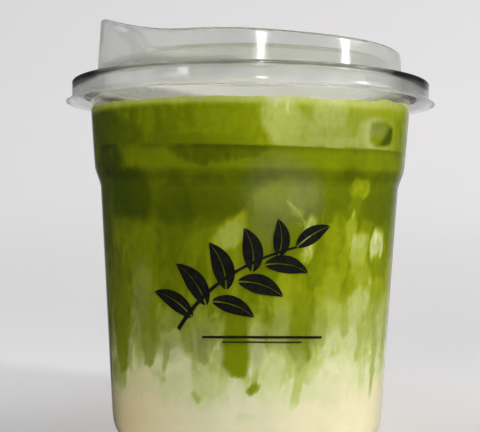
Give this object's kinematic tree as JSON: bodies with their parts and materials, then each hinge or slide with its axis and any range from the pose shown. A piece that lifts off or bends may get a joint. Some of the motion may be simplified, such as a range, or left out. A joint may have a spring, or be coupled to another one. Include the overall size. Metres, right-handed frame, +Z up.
{
  "type": "iced matcha latte",
  "caption": "Iced matcha latte in a clear plastic takeaway cup, with milk below, matcha above, a froth layer on top and a clear sip lid.",
  "frame": {"origin": "centre of the cup's base, on the surface that it stands on", "axes": "+Z up along the cup's axis, -Y towards the side shown in the picture, and the lid's spout points to -X"},
  "size_m": [0.1052, 0.1052, 0.1178],
  "materials": {
    "cup_plastic": "clear thin plastic",
    "lid_plastic": "clear thin plastic",
    "milk": "creamy milk",
    "matcha": "cloudy green tea and milk",
    "froth": "fine green froth"
  },
  "bodies": {
    "root": {"cup": "cup_plastic", "lid": "lid_plastic", "milk": "milk", "matcha": "matcha", "froth": "froth"}
  },
  "joints": []
}
